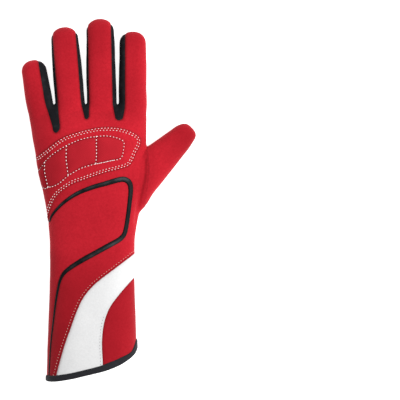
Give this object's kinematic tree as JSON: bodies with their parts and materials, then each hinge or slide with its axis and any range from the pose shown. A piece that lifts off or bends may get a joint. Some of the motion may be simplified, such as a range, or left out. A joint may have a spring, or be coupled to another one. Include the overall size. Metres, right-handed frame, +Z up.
{
  "type": "karting glove",
  "caption": "Left-hand karting glove with a long flared cuff: red back with quilted knuckle pad, black finger gussets and trim, white cuff stripe, bound hem",
  "frame": {"origin": "middle of the glove's bounding box in plan, on the surface that the palm rests on", "axes": "+X to the thumb's side, +Y from the cuff's mouth to the fingertips, +Z up out of the back of the hand"},
  "size_m": [0.1634, 0.3426, 0.0339],
  "materials": {
    "red_fabric": "matt suede-like knit",
    "palm_suede": "matt suede",
    "pad_fabric": "matt, quilted over foam",
    "white_fabric": "matt",
    "black_stretch": "matt stretch knit",
    "trim_black": "satin",
    "tape_black": "woven tape"
  },
  "bodies": {
    "root": {"back_panel": "red_fabric", "wrist_panel": "red_fabric", "stripe_panel": "white_fabric", "corner_panel": "red_fabric", "palm_panel": "palm_suede", "thumb": "red_fabric", "fourchette_little_ring": "black_stretch", "fourchette_ring_middle": "black_stretch", "fourchette_middle_index": "black_stretch", "knuckle_panel": "red_fabric", "knuckle_pad": "pad_fabric", "trim": "trim_black", "hem_binding": "tape_black"}
  },
  "joints": []
}
